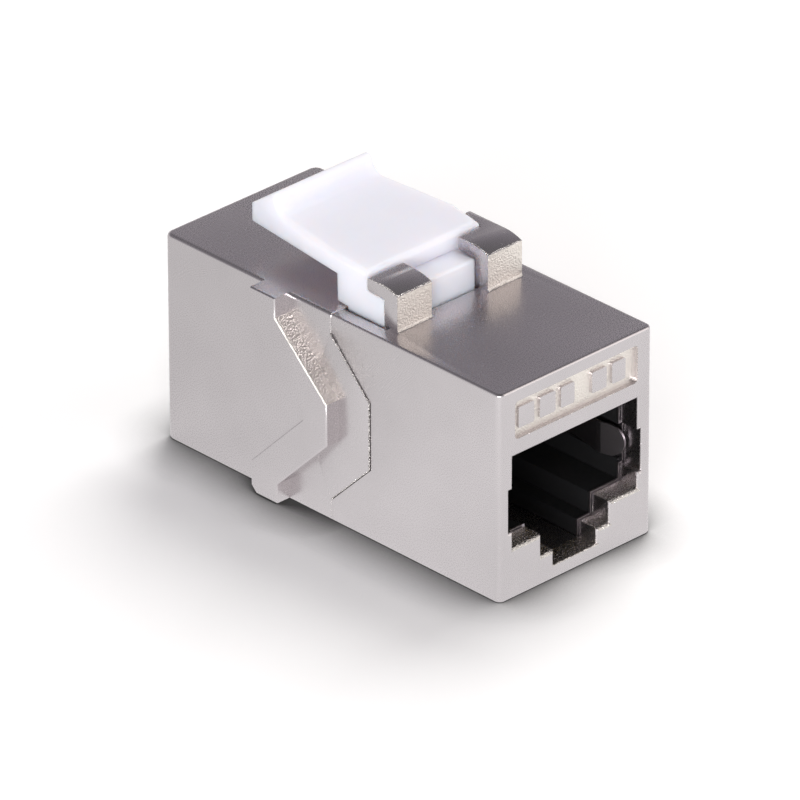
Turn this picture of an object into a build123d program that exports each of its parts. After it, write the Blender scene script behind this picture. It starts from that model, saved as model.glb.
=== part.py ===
from build123d import *
import os

# Shielded keystone network coupler: two cast shells, a snap latch held by two hooks, and two
# plug sockets back to back on a board. Millimetres. X is the width, the visible socket faces -Y,
# Z is up and the underside lies on z = 0.

# Housing
body_w = 14.5
body_l = 33.0
body_h = 16.0
half_w = body_w / 2
half_l = body_l / 2
mid_h = body_h / 2
corner_r = 0.5
rear_corner_r = 0.7
edge_r = 0.2
rear_edge_r = 0.3
side_wall = 0.75
floor_wall = 0.9
end_wall = 1.75
tongue_root = 4.0
seam_y = -0.15
seam_chamfer = 0.07

# Socket opening, stepped for the plug and its clip
port_drop = 5.15
port_top = body_h - port_drop
port_half = half_w - 1.3
ear_half = half_w - 0.95
ear_low = mid_h - 2.9
ear_high = mid_h + 0.35
step_1_z = 3.85
step_2_half = 3.25
step_2_z = 2.2
slot_half = 2.05
slot_z = 1.05
mouth_r = 0.28
slot_r = 0.1
rear_mouth_r = 0.12

# Label recess over the front socket
label_half = half_w - 1.45
label_low = port_top + 1.3
label_high = body_h - 1.0
label_deep = 0.35
mark_bars = [(-4.6, 1.5), (-2.6, 1.5), (-0.7, 1.3), (2.3, 1.4), (4.15, 1.3)]
mark_low = label_low + 0.65
mark_h = 1.6
mark_raise = 0.2
mark_r = 0.15

# Interlocking side tongues and the chevron ribs of the rear shell
tongue_tip_y = -3.95
tongue_top_z = body_h - 1.45
tongue_upper_z = mid_h + 2.6
tongue_lower_z = mid_h - 2.6
tongue_low_z = 1.65
tongue_proud = 0.1
tongue_back_y = 1.05
tongue_back_low = mid_h - 3.8
tongue_back_high = mid_h + 3.2
rib_proud = 1.25
rib_front = [
    (4.1, body_h),
    (4.1, body_h - 1.5),
    (-0.95, mid_h + 1.7),
    (-0.95, mid_h - 1.5),
    (4.05, 1.55),
    (4.05, 0.1),
]
rib_rear = [
    (6.1, 0.1),
    (6.6, 0.6),
    (6.6, 2.5),
    (1.45, mid_h - 0.35),
    (1.45, mid_h + 0.4),
    (6.55, body_h - 2.4),
    (6.55, body_h),
]
rib_edge_r = 0.15

# Hooks over the latch, measured up from the top of the housing
hook_w = 3.25
hook_outer = half_w - 1.35
hook_inner = hook_outer - hook_w
hook_front_y = -5.25
hook_post_y = -3.95
hook_tip_y = -2.35
hook_top_z = body_h + 3.1
hook_bend_y = -3.6
hook_front_z = hook_top_z - 0.33
hook_under_z = hook_top_z - 1.0
hook_tip_top_r = 0.12
hook_tip_r = 0.3
hook_foot_r = 0.25
guide_root = 0.9
guide_end = 0.45
guide_root_y = -2.15
guide_end_y = -0.15

# Seat pocket for the latch in the front shell
pocket_half = half_w - 1.1
pocket_front_y = -4.4
pocket_deep = 0.3

# Latch
latch_left = -(half_w - 1.45)
latch_right = half_w - 1.95
latch_guide_gap = 0.15
latch_rear_y = 10.4
latch_rear_left = latch_left + 1.2
latch_rear_right = latch_right - 1.4
latch_key_half = hook_inner - 0.3
latch_key_y = pocket_front_y + 0.15
latch_key_top_z = body_h + 2.2
latch_key_r = 0.2
latch_front_y = hook_post_y + 0.1
latch_seat_z = body_h - pocket_deep + 0.1
latch_heel_y = 0.72
latch_heel_z = body_h + 0.15
latch_step_front_z = hook_under_z - 0.22
latch_step_rear_z = hook_under_z - 0.1
riser_y = hook_tip_y + 0.2
arm_under_z = body_h + 2.2
arm_front_top_z = arm_under_z + 1.25
arm_rear_top_z = arm_under_z + 1.75
arm_edge_r = 0.45
catch_foot_y = 7.3
catch_foot_r = 1.0
catch_y = 7.6
catch_flat = 0.4
catch_top_z = arm_rear_top_z + 1.35
catch_corner_r = 0.5
arm_end_z = arm_under_z + 1.4

# Socket inserts, shields, comb, contacts and the board between them
shield_t = 0.15
fit = 0.05
insert_front_y = half_l - end_wall - 2 * fit - shield_t
insert_half = half_w - side_wall - 2 * fit - shield_t
insert_top = body_h - floor_wall - 2 * fit - shield_t
insert_low = floor_wall + fit
shield_half = half_w - side_wall - fit
shield_front_y = half_l - end_wall - fit
shield_top = body_h - floor_wall - fit
shield_l = shield_front_y - 3.6
board_half_t = 0.6
board_half_w = insert_half
board_low = insert_low + 0.25
board_high = insert_top - 0.2
channel_l = 9.65
channel_end_y = insert_front_y - channel_l
comb_half = 4.35
comb_low = port_top + 1.35
comb_front_y = insert_front_y - 2.85
seat_front_y = insert_front_y - 0.6
chamber_half = comb_half - 0.2
chamber_front_y = insert_front_y - 1.1
wire = 0.35
wire_z = comb_low + 0.25
pitch = 1.016
nose_y = insert_front_y - 0.85
nose_r = 0.45
wire_run = 7.5
wire_drop = 4.1
groove_w = 0.42
leaf_z = mid_h - 1.25
leaf_half = 1.2
leaf_l = 5.2
leaf_root_y = insert_front_y - leaf_l
leaf_bulge_y = insert_front_y - 1.2
leaf_tip_y = shield_front_y + 0.4
leaf_bulge_x = port_half - 0.45
leaf_tip_x = port_half + 0.05


def port_points(grow, low):
    right = [
        (0, port_top + grow),
        (port_half + grow, port_top + grow),
        (port_half + grow, ear_high + grow),
        (ear_half + grow, ear_high + grow),
        (ear_half + grow, ear_low - grow),
        (port_half + grow, ear_low - grow),
        (port_half + grow, step_1_z - grow),
        (step_2_half + grow, step_1_z - grow),
        (step_2_half + grow, step_2_z - grow),
        (slot_half + grow, step_2_z - grow),
        (slot_half + grow, low),
        (0, low),
    ]
    left = [(-x, z) for x, z in right[-2:0:-1]]
    return right + left


def channel_points(low):
    right = [
        (0, port_top),
        (port_half, port_top),
        (port_half, step_1_z),
        (step_2_half, step_1_z),
        (step_2_half, step_2_z),
        (slot_half, step_2_z),
        (slot_half, low),
        (0, low),
    ]
    left = [(-x, z) for x, z in right[-2:0:-1]]
    return right + left


def tongue_points():
    return [
        (seam_y, tongue_top_z),
        (tongue_tip_y, tongue_upper_z),
        (tongue_tip_y, tongue_lower_z),
        (seam_y, tongue_low_z),
    ]


# Front shell: a box open to the rear, notched on both sides for the tongues
with BuildPart() as front_shell:
    with BuildSketch(Plane.XZ.offset(half_l)):
        with Locations((0, body_h / 2)):
            Rectangle(body_w, body_h)
    extrude(amount=-(half_l + seam_y))
    fillet(front_shell.edges().filter_by(Axis.Z).group_by(Axis.Y)[0], radius=corner_r)
    fillet(front_shell.faces().sort_by(Axis.Z)[-1].edges().group_by(Axis.Y)[:-1], radius=edge_r)
    fillet(front_shell.faces().sort_by(Axis.Z)[0].edges().group_by(Axis.Y)[:-1], radius=edge_r)
    chamfer(front_shell.faces().sort_by(Axis.Y)[-1].outer_wire().edges(), length=seam_chamfer)
    with BuildSketch(Plane.XZ.offset(half_l - end_wall)):
        with Locations((0, body_h / 2)):
            Rectangle(body_w - 2 * side_wall, body_h - 2 * floor_wall)
    extrude(amount=-half_l, mode=Mode.SUBTRACT)
    with BuildSketch(Plane.XZ.offset(half_l)):
        with BuildLine():
            Polyline(*port_points(0, slot_z), close=True)
        make_face()
    extrude(amount=-(end_wall + 1), mode=Mode.SUBTRACT)
    mouth = front_shell.faces().sort_by(Axis.Y)[0].inner_wires()[0].edges()
    fillet(mouth - mouth.sort_by(Axis.Z)[:1], radius=mouth_r)
    mouth = front_shell.faces().sort_by(Axis.Y)[0].inner_wires()[0].edges()
    fillet(mouth.sort_by(Axis.Z)[:1], radius=slot_r)
    with BuildSketch(Plane.XZ.offset(half_l)):
        with Locations((0, (label_low + label_high) / 2)):
            RectangleRounded(2 * label_half, label_high - label_low, 0.3)
    extrude(amount=-label_deep, mode=Mode.SUBTRACT)
    with BuildSketch(Plane.XZ.offset(half_l - label_deep)):
        for bar_x, bar_w in mark_bars:
            with Locations((bar_x, mark_low + mark_h / 2)):
                RectangleRounded(bar_w, mark_h, mark_r)
    extrude(amount=mark_raise)
    with BuildSketch(Plane.YZ):
        with BuildLine():
            Polyline(*tongue_points(), close=True)
        make_face()
    extrude(amount=half_w + 1, both=True, mode=Mode.SUBTRACT)
    with BuildSketch(Plane.XY.offset(body_h)):
        with Locations((0, (pocket_front_y + seam_y) / 2)):
            Rectangle(2 * pocket_half, seam_y - pocket_front_y)
    extrude(amount=-pocket_deep, mode=Mode.SUBTRACT)
    for side in (-1, 1):
        with BuildSketch(Plane.YZ.offset(side * (hook_inner + hook_outer) / 2)):
            with BuildLine():
                Polyline(
                    (hook_bend_y, hook_top_z),
                    (hook_tip_y, hook_top_z),
                    (hook_tip_y, hook_under_z),
                    (hook_post_y, hook_under_z),
                    (hook_post_y, body_h - pocket_deep),
                    (hook_front_y, body_h - pocket_deep),
                    (hook_front_y, hook_front_z),
                )
                TangentArc((hook_bend_y, hook_top_z), (hook_front_y, hook_front_z), tangent=(-1, 0))
            make_face()
        extrude(amount=(hook_outer - hook_inner) / 2, both=True)
    tips = front_shell.edges().filter_by(Axis.X).filter_by_position(Axis.Y, hook_tip_y - 0.01, hook_tip_y + 0.01)
    fillet(tips.group_by(Axis.Z)[0], radius=hook_tip_r)
    tips = front_shell.edges().filter_by(Axis.X).filter_by_position(Axis.Y, hook_tip_y - 0.01, hook_tip_y + 0.01)
    fillet(tips.group_by(Axis.Z)[-1], radius=hook_tip_top_r)
    with BuildSketch(Plane.XY.offset(hook_under_z)):
        with BuildLine():
            Polyline(
                (hook_outer, hook_bend_y),
                (hook_outer, guide_end_y),
                (hook_outer - guide_end, guide_end_y),
                (hook_outer - guide_root, guide_root_y),
                (hook_outer - guide_root - 0.3, hook_tip_y - 0.1),
                (hook_outer - guide_root - 0.3, hook_bend_y),
                close=True,
            )
        make_face()
    extrude(amount=hook_top_z - hook_under_z)
    feet = front_shell.edges().filter_by(Axis.X).filter_by_position(Axis.Z, body_h - 0.01, body_h + 0.01)
    fillet(feet.filter_by_position(Axis.Y, hook_front_y - 0.01, hook_front_y + 0.01), radius=hook_foot_r)

# Rear shell: the same box turned about, with tongues and chevron ribs
with BuildPart() as rear_shell:
    with BuildSketch(Plane.XZ.offset(-half_l)):
        with Locations((0, body_h / 2)):
            Rectangle(body_w, body_h)
    extrude(amount=half_l - seam_y)
    fillet(rear_shell.edges().filter_by(Axis.Z).group_by(Axis.Y)[-1], radius=rear_corner_r)
    fillet(rear_shell.faces().sort_by(Axis.Z)[-1].edges().group_by(Axis.Y)[1:], radius=rear_edge_r)
    fillet(rear_shell.faces().sort_by(Axis.Z)[0].edges().group_by(Axis.Y)[1:], radius=edge_r)
    chamfer(rear_shell.faces().sort_by(Axis.Y)[0].outer_wire().edges(), length=seam_chamfer)
    for side in (-1, 1):
        with BuildSketch(Plane.YZ.offset(side * (half_w - side_wall))):
            with BuildLine():
                Polyline(*tongue_points(), (tongue_back_y, tongue_back_low), (tongue_back_y, tongue_back_high), close=True)
            make_face()
        extrude(amount=side * (side_wall + tongue_proud))
        with BuildSketch(Plane.YZ.offset(side * (half_w - side_wall))):
            with BuildLine():
                Polyline(*rib_front, *rib_rear, close=True)
            make_face()
        extrude(amount=side * (side_wall + rib_proud))
    rib_faces = rear_shell.faces().filter_by(Axis.X)
    fillet(rib_faces.sort_by(Axis.X)[0].outer_wire().edges(), radius=rib_edge_r)
    fillet(rear_shell.faces().filter_by(Axis.X).sort_by(Axis.X)[-1].outer_wire().edges(), radius=rib_edge_r)
    with BuildSketch(Plane.XZ.offset(-(half_l - end_wall))):
        with Locations((0, body_h / 2)):
            Rectangle(body_w - 2 * side_wall, body_h - 2 * floor_wall)
    extrude(amount=half_l + tongue_root, mode=Mode.SUBTRACT)
    with BuildSketch(Plane.XZ.offset(-half_l)):
        with BuildLine():
            Polyline(*port_points(0, slot_z), close=True)
        make_face()
    extrude(amount=end_wall + 1, mode=Mode.SUBTRACT)
    mouth = rear_shell.faces().sort_by(Axis.Y)[-1].inner_wires()[0].edges()
    fillet(mouth - mouth.sort_by(Axis.Z)[:1], radius=rear_mouth_r)

# Latch: one moulding with a seat under the hooks, a key between them, a springy arm and a ramped catch
with BuildPart() as latch:
    with BuildSketch(Plane.YZ.offset(latch_left - 1)):
        with BuildLine():
            Polyline(
                (latch_front_y, latch_seat_z),
                (latch_front_y, latch_step_front_z),
                (riser_y, latch_step_rear_z),
                (riser_y, arm_front_top_z),
                (catch_foot_y, arm_rear_top_z),
                (catch_y, catch_top_z),
                (catch_y + catch_flat, catch_top_z),
                (latch_rear_y, arm_end_z),
                (latch_rear_y, arm_under_z),
                (latch_heel_y, arm_under_z),
                (latch_heel_y, latch_heel_z),
                (seam_y - 0.15, latch_heel_z - 0.1),
                (seam_y - 0.15, latch_seat_z),
                close=True,
            )
        make_face()
    extrude(amount=latch_right - latch_left + 2)
    with BuildSketch(Plane.XY.offset(latch_seat_z - 1)):
        with BuildLine():
            Polyline(
                (latch_left, latch_front_y),
                (hook_outer - guide_root - latch_guide_gap, latch_front_y),
                (hook_outer - guide_root - latch_guide_gap, riser_y),
                (latch_right, latch_heel_y),
                (latch_rear_right, latch_rear_y),
                (latch_rear_left, latch_rear_y),
                (latch_left, latch_heel_y),
                close=True,
            )
        make_face()
    extrude(amount=catch_top_z, mode=Mode.INTERSECT)
    across = latch.edges().filter_by(Axis.X)
    foot = across.filter_by_position(Axis.Y, catch_foot_y - 0.01, catch_foot_y + 0.01)
    fillet(foot.filter_by_position(Axis.Z, arm_rear_top_z - 0.01, arm_rear_top_z + 0.01), radius=catch_foot_r)
    crest = latch.edges().filter_by_position(Axis.Z, catch_top_z - 0.01, catch_top_z + 0.01)
    fillet(crest - crest.filter_by(Axis.X), radius=catch_corner_r)
    rims = latch.edges().filter_by_position(Axis.Z, arm_front_top_z - 0.01, arm_rear_top_z)
    rims = rims.filter_by_position(Axis.Y, riser_y - 0.01, catch_foot_y - 0.8)
    fillet(rims, radius=arm_edge_r)
    with BuildSketch(Plane.YZ.offset(-latch_key_half)):
        with BuildLine():
            Polyline(
                (latch_key_y, latch_seat_z),
                (latch_key_y, latch_key_top_z),
                (riser_y + 0.1, latch_key_top_z - 0.1),
                (riser_y + 0.1, latch_seat_z),
                close=True,
            )
        make_face()
    extrude(amount=2 * latch_key_half)
    brow = latch.edges().filter_by(Axis.X).filter_by_position(Axis.Z, latch_key_top_z - 0.01, latch_key_top_z + 0.01)
    fillet(brow.filter_by_position(Axis.Y, latch_key_y - 0.01, latch_key_y + 0.01), radius=latch_key_r)


def socket(turn):
    # turn is -1 for the front socket and 1 for the rear one
    plane = Plane.XZ

    with BuildPart() as insert:
        with BuildSketch(plane.offset(-turn * insert_front_y)):
            with Locations((0, (insert_low + insert_top) / 2)):
                Rectangle(2 * insert_half, insert_top - insert_low)
        extrude(amount=turn * (insert_front_y - board_half_t))
        with BuildSketch(plane.offset(-turn * insert_front_y)):
            with BuildLine():
                Polyline(*channel_points(0), close=True)
            make_face()
        extrude(amount=turn * (insert_front_y - channel_end_y), mode=Mode.SUBTRACT)
        with BuildSketch(plane.offset(-turn * chamber_front_y)):
            with Locations((0, (port_top + comb_low) / 2)):
                Rectangle(2 * chamber_half, comb_low - port_top + 0.2)
        extrude(amount=turn * (chamber_front_y - channel_end_y), mode=Mode.SUBTRACT)
        with BuildSketch(plane.offset(-turn * seat_front_y)):
            with Locations((0, (comb_low + insert_top + 1) / 2)):
                Rectangle(2 * comb_half + 2 * fit, insert_top + 1 - comb_low)
        extrude(amount=turn * (seat_front_y - board_half_t), mode=Mode.SUBTRACT)
        with BuildSketch(plane.offset(-turn * insert_front_y)):
            with Locations((0, leaf_z)):
                Rectangle(2 * insert_half + 2, 2 * leaf_half + 0.3)
        extrude(amount=turn * (insert_front_y - leaf_root_y + 0.4), mode=Mode.SUBTRACT)

    with BuildPart() as leaves:
        with BuildSketch(Plane.XY.offset(leaf_z - leaf_half)):
            for side in (-1, 1):
                with BuildLine():
                    Polyline(
                        (side * (shield_half - shield_t), turn * leaf_root_y),
                        (side * leaf_bulge_x, turn * (leaf_bulge_y - 0.4)),
                        (side * leaf_bulge_x, turn * leaf_bulge_y),
                        (side * leaf_tip_x, turn * leaf_tip_y),
                        (side * (leaf_tip_x + shield_t), turn * leaf_tip_y),
                        (side * (leaf_bulge_x + shield_t), turn * leaf_bulge_y),
                        (side * (leaf_bulge_x + shield_t), turn * (leaf_bulge_y - 0.4)),
                        (side * shield_half, turn * (leaf_root_y - 0.3)),
                        (side * (shield_half - shield_t), turn * (leaf_root_y - 0.3)),
                        close=True,
                    )
                make_face()
        extrude(amount=2 * leaf_half)
        with BuildSketch(Plane.YZ):
            with Locations((turn * (leaf_tip_y - leaf_half), leaf_z)):
                Circle(leaf_half)
            with Locations((turn * (leaf_tip_y - leaf_half) / 2, leaf_z)):
                Rectangle(leaf_tip_y - leaf_half, 2 * leaf_half)
        extrude(amount=half_w, both=True, mode=Mode.INTERSECT)

    with BuildPart() as shield:
        with BuildSketch(plane.offset(-turn * shield_front_y)):
            with Locations((0, (insert_low + shield_top) / 2)):
                Rectangle(2 * shield_half, shield_top - insert_low)
        extrude(amount=turn * shield_l)
        with BuildSketch(plane.offset(-turn * (shield_front_y - shield_t))):
            with Locations((0, (insert_low + shield_top - shield_t) / 2 - 1)):
                Rectangle(2 * (shield_half - shield_t), shield_top - shield_t - insert_low + 2)
        extrude(amount=turn * shield_front_y, mode=Mode.SUBTRACT)
        with BuildSketch(plane.offset(-turn * shield_front_y)):
            with BuildLine():
                Polyline(*port_points(-0.12, 0), close=True)
            make_face()
        extrude(amount=turn * 1, mode=Mode.SUBTRACT)
        add(leaves.part)

    with BuildPart() as comb:
        with BuildSketch(plane.offset(-turn * comb_front_y)):
            with Locations((0, (comb_low + insert_top) / 2)):
                Rectangle(2 * comb_half, insert_top - comb_low)
            with Locations((0, comb_low + (wire_z + wire / 2 - comb_low) / 2)):
                with GridLocations(pitch, 1, 8, 1):
                    Rectangle(groove_w, wire_z + wire / 2 - comb_low, mode=Mode.SUBTRACT)
        extrude(amount=turn * (comb_front_y - board_half_t))

    with BuildPart() as contact:
        with BuildLine(Plane.YZ):
            FilletPolyline(
                (turn * board_half_t, wire_z),
                (turn * nose_y, wire_z),
                (turn * (nose_y - wire_run), wire_z - wire_drop),
                radius=nose_r,
            )
        with BuildSketch(Plane.XZ.offset(-turn * board_half_t)):
            with Locations((0, wire_z)):
                Rectangle(wire, wire)
        sweep()

    return insert, shield, comb, contact


front_insert, front_shield, front_comb, front_contact = socket(-1)
rear_insert, rear_shield, rear_comb, rear_contact = socket(1)

# Board between the two sockets
with BuildPart() as circuit_board:
    with BuildSketch(Plane.XZ.offset(board_half_t)):
        with Locations((0, (board_low + board_high) / 2)):
            Rectangle(2 * board_half_w, board_high - board_low)
    extrude(amount=-2 * board_half_t)

os.makedirs("parts", exist_ok=True)
front_shell.part.label = "front_shell"
rear_shell.part.label = "rear_shell"
latch.part.label = "latch"
front_insert.part.label = "front_insert"
front_shield.part.label = "front_shield"
front_comb.part.label = "front_comb"
rear_insert.part.label = "rear_insert"
rear_shield.part.label = "rear_shield"
rear_comb.part.label = "rear_comb"
circuit_board.part.label = "circuit_board"
export_step(front_shell.part, "parts/front_shell.step")
export_step(rear_shell.part, "parts/rear_shell.step")
export_step(latch.part, "parts/latch.step")
export_step(front_insert.part, "parts/front_insert.step")
export_step(front_shield.part, "parts/front_shield.step")
export_step(front_comb.part, "parts/front_comb.step")
export_step(rear_insert.part, "parts/rear_insert.step")
export_step(rear_shield.part, "parts/rear_shield.step")
export_step(rear_comb.part, "parts/rear_comb.step")
export_step(circuit_board.part, "parts/circuit_board.step")
for i in range(8):
    for name, contact in (("front", front_contact), ("rear", rear_contact)):
        piece = Pos((i - 3.5) * pitch, 0, 0) * contact.part
        piece.label = f"{name}_contact_{i + 1}"
        export_step(piece, f"parts/{name}_contact_{i + 1}.step")
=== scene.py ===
import math

import bmesh
import bpy
from mathutils import Matrix, Vector

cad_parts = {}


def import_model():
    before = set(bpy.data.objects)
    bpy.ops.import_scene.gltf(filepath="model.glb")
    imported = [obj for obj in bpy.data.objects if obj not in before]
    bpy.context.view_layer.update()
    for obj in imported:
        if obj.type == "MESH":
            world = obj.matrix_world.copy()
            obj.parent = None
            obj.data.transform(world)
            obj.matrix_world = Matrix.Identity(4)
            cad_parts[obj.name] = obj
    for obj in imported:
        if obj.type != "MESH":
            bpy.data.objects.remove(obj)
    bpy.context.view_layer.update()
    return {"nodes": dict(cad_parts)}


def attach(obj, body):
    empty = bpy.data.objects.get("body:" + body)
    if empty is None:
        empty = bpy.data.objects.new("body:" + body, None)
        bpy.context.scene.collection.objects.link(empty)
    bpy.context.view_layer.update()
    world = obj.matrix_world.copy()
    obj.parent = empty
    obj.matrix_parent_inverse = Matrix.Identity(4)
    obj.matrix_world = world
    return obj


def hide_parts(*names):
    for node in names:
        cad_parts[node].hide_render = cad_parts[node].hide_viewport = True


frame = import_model()

# A millimetre in metres, the frame's unit. Numbers marked mm are for the rounded copies.
MM = 0.001
HOUSING = "housing"
LEVER = "latch_lever"


# Node helpers


def clear_nodes(tree):
    for node in list(tree.nodes):
        tree.nodes.remove(node)


def new_material(name):
    mat = bpy.data.materials.new(name)
    mat.use_nodes = True
    clear_nodes(mat.node_tree)
    return mat, mat.node_tree


def object_coords(tree):
    return tree.nodes.new("ShaderNodeTexCoord").outputs["Object"]


def noise(tree, coords, scale, detail=4.0, rough=0.55):
    node = tree.nodes.new("ShaderNodeTexNoise")
    node.inputs["Scale"].default_value = scale
    node.inputs["Detail"].default_value = detail
    node.inputs["Roughness"].default_value = rough
    tree.links.new(coords, node.inputs["Vector"])
    return node.outputs["Fac"]


def ramp(tree, value, stops):
    node = tree.nodes.new("ShaderNodeValToRGB")
    tree.links.new(value, node.inputs["Fac"])
    elements = node.color_ramp.elements
    for element, (position, color) in zip(elements, (stops[0], stops[-1])):
        element.position = position
        element.color = color
    for position, color in stops[1:-1]:
        elements.new(position).color = color
    return node.outputs["Color"]


def grey(value):
    return (value, value, value, 1.0)


def map_range(tree, value, low, high, to_low, to_high):
    node = tree.nodes.new("ShaderNodeMapRange")
    tree.links.new(value, node.inputs["Value"])
    node.inputs["From Min"].default_value = low
    node.inputs["From Max"].default_value = high
    node.inputs["To Min"].default_value = to_low
    node.inputs["To Max"].default_value = to_high
    return node.outputs["Result"]


def bump(tree, height, strength, distance, normal=None):
    node = tree.nodes.new("ShaderNodeBump")
    node.inputs["Strength"].default_value = strength
    node.inputs["Distance"].default_value = distance
    tree.links.new(height, node.inputs["Height"])
    if normal is not None:
        tree.links.new(normal, node.inputs["Normal"])
    return node.outputs["Normal"]


def surface(tree, color, roughness, normal, metallic=0.0, **fixed):
    shader = tree.nodes.new("ShaderNodeBsdfPrincipled")
    shader.inputs["Metallic"].default_value = metallic
    for key, value in fixed.items():
        shader.inputs[key.replace("_", " ")].default_value = value
    tree.links.new(color, shader.inputs["Base Color"])
    tree.links.new(roughness, shader.inputs["Roughness"])
    tree.links.new(normal, shader.inputs["Normal"])
    out = tree.nodes.new("ShaderNodeOutputMaterial")
    tree.links.new(shader.outputs["BSDF"], out.inputs["Surface"])


def joined(tree, operation, first, second):
    node = tree.nodes.new("ShaderNodeMath")
    node.operation = operation
    tree.links.new(first, node.inputs[0])
    tree.links.new(second, node.inputs[1])
    return node.outputs[0]


def blended(tree, factor, first, second):
    """Mix two colours. The second is a socket or a plain colour."""
    node = tree.nodes.new("ShaderNodeMix")
    node.data_type = "RGBA"
    tree.links.new(factor, node.inputs["Factor"])
    tree.links.new(first, node.inputs[6])
    if isinstance(second, tuple):
        node.inputs[7].default_value = second
    else:
        tree.links.new(second, node.inputs[7])
    return node.outputs[2]


# Materials. Noise scales are per metre, and bump heights are in metres.

NOISE_LOW, NOISE_HIGH = 0.3, 0.7
GRAIN_HEIGHT = 0.00001


def toned(tree, broad, color, darkest):
    """A colour that varies slowly over the surface, down to darkest times itself."""
    low = tuple(darkest * v for v in color) + (1.0,)
    return ramp(tree, broad, [(NOISE_LOW, low), (NOISE_HIGH, tuple(color) + (1.0,))])


def varied(tree, fine, middle, spread):
    return map_range(tree, fine, NOISE_LOW, NOISE_HIGH, middle - spread, middle + spread)


def metal(name, tint, rough, grain, pits=0.0, depth=0.0, specks=0.0, scale=7000.0):
    """Metal with a fine grain, pits of the given depth and scale, and a few single specks."""
    mat, tree = new_material(name)
    coords = object_coords(tree)
    broad = noise(tree, coords, 200.0, 2.0)
    fine = noise(tree, coords, 12000.0, 2.0, 0.6)
    normal = bump(tree, fine, grain, GRAIN_HEIGHT)
    if pits:
        normal = bump(tree, noise(tree, coords, scale, 2.0, 0.5), pits, depth, normal)
    if specks:
        spots = map_range(tree, noise(tree, coords, 2300.0, 1.0, 0.5), 0.75, 0.80, 0.0, 1.0)
        normal = bump(tree, spots, specks, 0.00003, normal)
    color = toned(tree, broad, tint, 0.95)
    surface(tree, color, varied(tree, fine, rough, 0.04), normal, metallic=1.0)
    return mat


def plastic(name, color, spread, rough, grain, **fixed):
    mat, tree = new_material(name)
    coords = object_coords(tree)
    broad = noise(tree, coords, 180.0, 3.0)
    fine = noise(tree, coords, 2400.0, 3.0)
    tone = toned(tree, broad, color, 1 - spread)
    normal = bump(tree, fine, grain, GRAIN_HEIGHT)
    surface(tree, tone, varied(tree, fine, rough, 0.05), normal, **fixed)
    return mat


def board_green():
    mat, tree = new_material("board_green")
    coords = object_coords(tree)
    brick = tree.nodes.new("ShaderNodeTexBrick")
    brick.inputs["Scale"].default_value = 420.0
    brick.inputs["Mortar Size"].default_value = 0.03
    brick.inputs["Color1"].default_value = (0.012, 0.075, 0.03, 1)
    brick.inputs["Color2"].default_value = (0.014, 0.085, 0.034, 1)
    brick.inputs["Mortar"].default_value = (0.02, 0.13, 0.05, 1)
    tree.links.new(coords, brick.inputs["Vector"])
    fine = noise(tree, coords, 2500.0)
    roughness = map_range(tree, fine, NOISE_LOW, NOISE_HIGH, 0.3, 0.4)
    surface(tree, brick.outputs["Color"], roughness, bump(tree, fine, 0.1, GRAIN_HEIGHT))
    return mat


nickel = metal(
    "cast_nickel", (0.625, 0.588, 0.598), rough=0.28, grain=0.08,
    pits=0.06, depth=0.00002, specks=0.4, scale=4600.0,
)
# Rougher, pitted nickel for the hook fronts, the recess floor and the rib flanks. Its much
# lighter warm tint is painted light, because these faces look towards the front and up, where
# the lamps are.
rough_nickel_painted_light = metal(
    "rough_cast_nickel_painted_light", (0.90, 0.845, 0.79), rough=0.40, grain=0.4, pits=1.0, depth=0.00009
)
tread_nickel = metal(
    "tread_nickel", (0.74, 0.70, 0.66), rough=0.26, grain=0.4, pits=1.0, depth=0.00014
)
edge_nickel = metal(
    "edge_nickel", (0.70, 0.66, 0.64), rough=0.20, grain=0.4, pits=1.0, depth=0.0003
)
# Painted shade: near-black nickel on the seam's rounded edges, standing in for the shade in the
# gap between the halves.
seam_painted_shade = metal(
    "seam_painted_shade", (0.13, 0.12, 0.12), rough=0.4, grain=0.4, pits=1.0, depth=0.0001
)
# The shield is real metal, but its dark tint is painted shade for the inside of the port mouth.
shield_metal = metal("shield_metal", (0.34, 0.31, 0.33), rough=0.34, grain=0.03)
contact_gold = metal("contact_gold", (0.86, 0.64, 0.28), rough=0.25, grain=0.05)
latch_white = plastic(
    "latch_white", (0.80, 0.80, 0.87), spread=0.02, rough=0.58, grain=0.05,
    Specular_IOR_Level=0.3,
    Subsurface_Weight=0.85,
    Subsurface_Radius=(1.0, 0.8, 0.7),
    Subsurface_Scale=0.002,
)
insert_black = plastic("insert_black", (0.012, 0.012, 0.013), spread=0.3, rough=0.42, grain=0.1)
comb_black = plastic("comb_black", (0.016, 0.016, 0.017), spread=0.3, rough=0.5, grain=0.1)
board = board_green()


# Castings and latch: copies of their nodes with rounded outer edges

# Material indexes on the castings. The rear one has no seam. The seam's index is painted shade,
# and the rough one is painted light as well as a rougher surface.
PLAIN, ROUGH_PAINTED_LIGHT, TREAD, EDGE, SEAM_PAINTED_SHADE = range(5)
castings = [nickel, rough_nickel_painted_light, tread_nickel, edge_nickel]

ROUNDING = 0.08  # mm
SHARP = math.radians(35)  # edges sharper than this are rounded
SMOOTH = math.radians(40)  # edges flatter than this are shaded smooth
FLAT = math.radians(0.5)  # faces that meet at less than this are one face
WELD = 0.0005  # mm
HEEL_LIFT = 0.02  # mm, so that the pressed latch clears the rear half


def weigh_edges(work):
    """Sharp outer edges get the rounding's width, or less where a neighbour is short."""
    weight = work.edges.layers.float.new("bevel_weight_edge")
    for edge in work.edges:
        if len(edge.link_faces) != 2 or not edge.is_convex:
            continue
        if edge.calc_face_angle(0.0) > SHARP:
            near = min(
                other.calc_length()
                for vert in edge.verts
                for other in vert.link_edges
                if other != edge
            )
            share = min(1.0, 0.4 * near / ROUNDING)
            edge[weight] = share if share > 0.1 else 0.0


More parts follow.
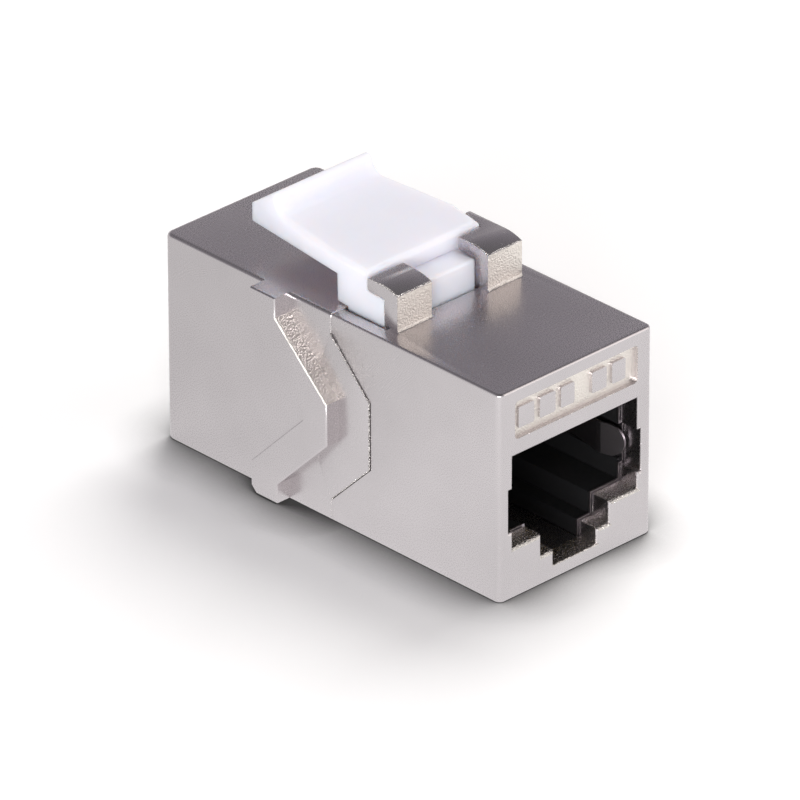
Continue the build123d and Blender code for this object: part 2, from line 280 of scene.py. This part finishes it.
def cleaned(node, name, lift):
    """The node's mesh in millimetres, with flat faces whole again."""
    work = bmesh.new()
    work.from_mesh(frame["nodes"][node].data)
    bmesh.ops.scale(work, vec=(1 / MM, 1 / MM, 1 / MM), verts=work.verts)
    bmesh.ops.remove_doubles(work, verts=work.verts, dist=WELD)
    bmesh.ops.dissolve_limit(
        work, angle_limit=FLAT, verts=work.verts, edges=work.edges, use_dissolve_boundaries=False
    )
    weigh_edges(work)
    if lift:
        for vert in work.verts:
            if lift(vert.co):
                vert.co.z += HEEL_LIFT
    mesh = bpy.data.meshes.new(name)
    work.to_mesh(mesh)
    work.free()
    return mesh


def rounded(mesh, name, edge_index):
    obj = bpy.data.objects.new(name + "_work", mesh)
    bpy.context.scene.collection.objects.link(obj)
    bevel = obj.modifiers.new("round", "BEVEL")
    bevel.width = ROUNDING
    bevel.segments = 3
    bevel.material = edge_index
    bevel.limit_method = "WEIGHT"
    bevel.use_clamp_overlap = False
    bpy.context.view_layer.update()
    graph = bpy.context.evaluated_depsgraph_get()
    done = bpy.data.meshes.new_from_object(obj.evaluated_get(graph))
    bpy.data.objects.remove(obj)
    done.transform(Matrix.Scale(MM, 4))
    return done


def shade_smooth(mesh):
    smooth = bmesh.new()
    smooth.from_mesh(mesh)
    for face in smooth.faces:
        face.smooth = True
    for edge in smooth.edges:
        edge.smooth = len(edge.link_faces) == 2 and edge.calc_face_angle(0.0) < SMOOTH
    smooth.to_mesh(mesh)
    smooth.free()


def rounded_copy(node, name, materials, body, edge_index=0, finish=None, lift=None):
    """finish picks a face's material from its place, its normal and whether it is an edge's."""
    mesh = cleaned(node, name, lift)
    for material in materials:
        mesh.materials.append(material)
    done = rounded(mesh, name, edge_index)
    shade_smooth(done)
    done.name = name
    piece = bpy.data.objects.new(name, done)
    bpy.context.scene.collection.objects.link(piece)
    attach(piece, body)
    if finish:
        for poly in done.polygons:
            on_edge = poly.material_index == edge_index
            poly.material_index = finish(poly.center / MM, poly.normal, on_edge)
    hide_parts(node)


def front_finish(at, normal, on_edge):
    if on_edge:
        # Rounded edges along the seam get the near-black painted shade.
        seam = abs(at.x) > 7.0 and at.y > -4.3 and 0.4 < at.z < 15.6
        return SEAM_PAINTED_SHADE if seam else EDGE
    tread = at.y < -14.6 and 0.5 < at.z < 4.2 and normal.z > 0.15 and abs(normal.x) < 0.3
    if tread:
        return TREAD
    # Front-facing faces of the hooks and the recess get the lighter nickel, which is painted
    # light.
    facing = normal.y < -0.5
    hook = at.z > 16.05 and at.y < -4.8
    recess = -16.2 < at.y < -16.0 and 12.2 < at.z < 15.0
    return ROUGH_PAINTED_LIGHT if facing and (hook or recess) else PLAIN


def rear_finish(at, normal, on_edge):
    if on_edge:
        return EDGE
    # Rib flanks facing up and to the front get the lighter nickel, which is painted light.
    flank = abs(at.x) > 7.3 and normal.z > 0.3 and normal.y < -0.3
    return ROUGH_PAINTED_LIGHT if flank else PLAIN


def is_heel(at):
    return -0.4 < at.y < 0.8 and 16.0 < at.z < 16.3


rounded_copy(
    "front_shell", "front_casting", castings + [seam_painted_shade], HOUSING,
    edge_index=EDGE, finish=front_finish,
)
rounded_copy(
    "rear_shell", "rear_casting", castings, HOUSING,
    edge_index=EDGE, finish=rear_finish,
)
rounded_copy("latch", "snap_latch", [latch_white], LEVER, lift=is_heel)


# The other nodes keep their shape


def dress(node, material):
    for place in frame["nodes"][node].material_slots:
        place.material = material


for end in ("front", "rear"):
    dress(end + "_insert", insert_black)
    dress(end + "_comb", comb_black)
    dress(end + "_shield", shield_metal)
    for number in range(1, 9):
        dress(f"{end}_contact_{number}", contact_gold)
dress("circuit_board", board)


# Floor, world, lamps and camera


def floor_shader(tree):
    """A pale floor. The camera sees it white with the object's shadow and with a painted contact
    shadow near the object. Metal sees it as a glowing light grey that fades towards the back,
    which is painted light."""
    path = tree.nodes.new("ShaderNodeLightPath")
    glossy, through = path.outputs["Is Glossy Ray"], path.outputs["Is Transmission Ray"]
    mirrored = joined(tree, "MAXIMUM", glossy, through)
    first_hit = map_range(tree, path.outputs["Diffuse Depth"], 0.0, 1.0, 1.0, 0.0)
    mirrored = joined(tree, "MULTIPLY", mirrored, first_hit)
    coords = object_coords(tree)
    plain = ramp(
        tree, noise(tree, coords, 3.0), [(NOISE_LOW, grey(0.80)), (NOISE_HIGH, grey(0.81))]
    )
    # Painted contact shadow: the camera sees the floor darker close to the object, from ambient
    # occlusion rather than the lamps.
    near = tree.nodes.new("ShaderNodeAmbientOcclusion")
    near.samples = 16
    near.inputs["Distance"].default_value = 0.005
    contact = map_range(tree, near.outputs["AO"], 0.40, 1.0, 0.08, 1.1)
    tone = blended(tree, path.outputs["Is Camera Ray"], plain, contact)
    tone = blended(tree, mirrored, tone, grey(0.15))
    diffuse = tree.nodes.new("ShaderNodeBsdfDiffuse")
    tree.links.new(tone, diffuse.inputs["Color"])
    # Painted light for reflections: metal sees the floor glow, brighter in front and dimmer
    # towards the back, which shades the metal sides from front to back.
    split = tree.nodes.new("ShaderNodeSeparateXYZ")
    tree.links.new(coords, split.inputs[0])
    along = map_range(tree, split.outputs["Y"], -0.02, 0.03, 0.0, 1.0)
    stops = [(0.08, grey(0.84)), (0.20, grey(0.90)), (0.40, grey(0.88)), (0.85, grey(0.66))]
    strength = joined(tree, "MULTIPLY", mirrored, ramp(tree, along, stops))
    glow = tree.nodes.new("ShaderNodeEmission")
    glow.inputs["Color"].default_value = grey(1.0)
    tree.links.new(strength, glow.inputs["Strength"])
    both = tree.nodes.new("ShaderNodeAddShader")
    tree.links.new(diffuse.outputs[0], both.inputs[0])
    tree.links.new(glow.outputs[0], both.inputs[1])
    out = tree.nodes.new("ShaderNodeOutputMaterial")
    tree.links.new(both.outputs[0], out.inputs["Surface"])


def floor():
    half = 1.5
    mesh = bpy.data.meshes.new("floor")
    corners = [(-half, -half, 0), (half, -half, 0), (half, half, 0), (-half, half, 0)]
    mesh.from_pydata(corners, [], [(0, 1, 2, 3)])
    obj = bpy.data.objects.new("floor", mesh)
    bpy.context.scene.collection.objects.link(obj)
    mat, tree = new_material("floor_white")
    floor_shader(tree)
    mesh.materials.append(mat)


def world():
    """A plain studio: pale below and at the horizon, darker above."""
    env = bpy.data.worlds.new("studio")
    bpy.context.scene.world = env
    env.use_nodes = True
    tree = env.node_tree
    clear_nodes(tree)
    coords = tree.nodes.new("ShaderNodeTexCoord")
    split = tree.nodes.new("ShaderNodeSeparateXYZ")
    tree.links.new(coords.outputs["Generated"], split.inputs[0])
    height = map_range(tree, split.outputs["Z"], -1.0, 1.0, 0.0, 1.0)
    stops = [
        (0.0, grey(0.9)),
        (0.60, grey(0.82)),
        (0.67, (0.38, 0.355, 0.38, 1)),
        (0.75, (0.305, 0.29, 0.325, 1)),
        (0.83, (0.22, 0.21, 0.23, 1)),
        (1.0, grey(0.14)),
    ]
    back = tree.nodes.new("ShaderNodeBackground")
    tree.links.new(ramp(tree, height, stops), back.inputs["Color"])
    back.inputs["Strength"].default_value = 1.0
    out = tree.nodes.new("ShaderNodeOutputWorld")
    tree.links.new(back.outputs[0], out.inputs["Surface"])


def area_lamp(name, place, size, power, color=(1, 1, 1), glossy=True):
    """A lamp that points at the middle of the object. glossy says whether metal mirrors it."""
    data = bpy.data.lights.new(name, "AREA")
    data.shape = "RECTANGLE"
    data.size = size[0]
    data.size_y = size[1]
    data.energy = power
    data.color = color
    obj = bpy.data.objects.new(name, data)
    bpy.context.scene.collection.objects.link(obj)
    obj.location = place
    aim = Vector((0, 0, 0.01)) - Vector(place)
    obj.rotation_euler = aim.to_track_quat("-Z", "Y").to_euler()
    obj.visible_glossy = glossy


def camera():
    """The photograph's place and direction of view, found from the housing's corners."""
    place = Vector((-0.4778, -0.4950, 0.3818))
    azimuth = math.radians(-43.95)
    elevation = math.radians(28.61)
    roll = math.radians(-0.154)
    data = bpy.data.cameras.new("camera")
    data.sensor_width = 36.0
    data.lens = 514.8
    data.clip_start = 0.01
    obj = bpy.data.objects.new("camera", data)
    bpy.context.scene.collection.objects.link(obj)
    back = Vector((
        math.sin(azimuth) * math.cos(elevation),
        -math.cos(azimuth) * math.cos(elevation),
        math.sin(elevation),
    ))
    level = Vector((0, 0, 1)).cross(back).normalized()
    upright = back.cross(level)
    right = level * math.cos(roll) + upright * math.sin(roll)
    up = upright * math.cos(roll) - level * math.sin(roll)
    rotation = Matrix((right, up, back)).transposed().to_4x4()
    obj.matrix_world = Matrix.Translation(place) @ rotation
    bpy.context.scene.camera = obj


floor()
world()
area_lamp("key", (0.441, 0.160, 0.585), (0.42, 0.42), 3.5, (1.0, 0.985, 0.965), glossy=False)
area_lamp("panel", (0.467, -0.480, 0.330), (0.62, 0.62), 1.2, (1.0, 0.95, 0.89))
area_lamp("front", (-0.609, -0.545, 0.575), (0.40, 0.38), 1.9, (1.0, 0.97, 0.93), glossy=False)
area_lamp("fill", (-0.61, -0.41, 0.14), (0.5, 0.23), 3.7)
camera()
bpy.context.scene.view_settings.view_transform = "Standard"
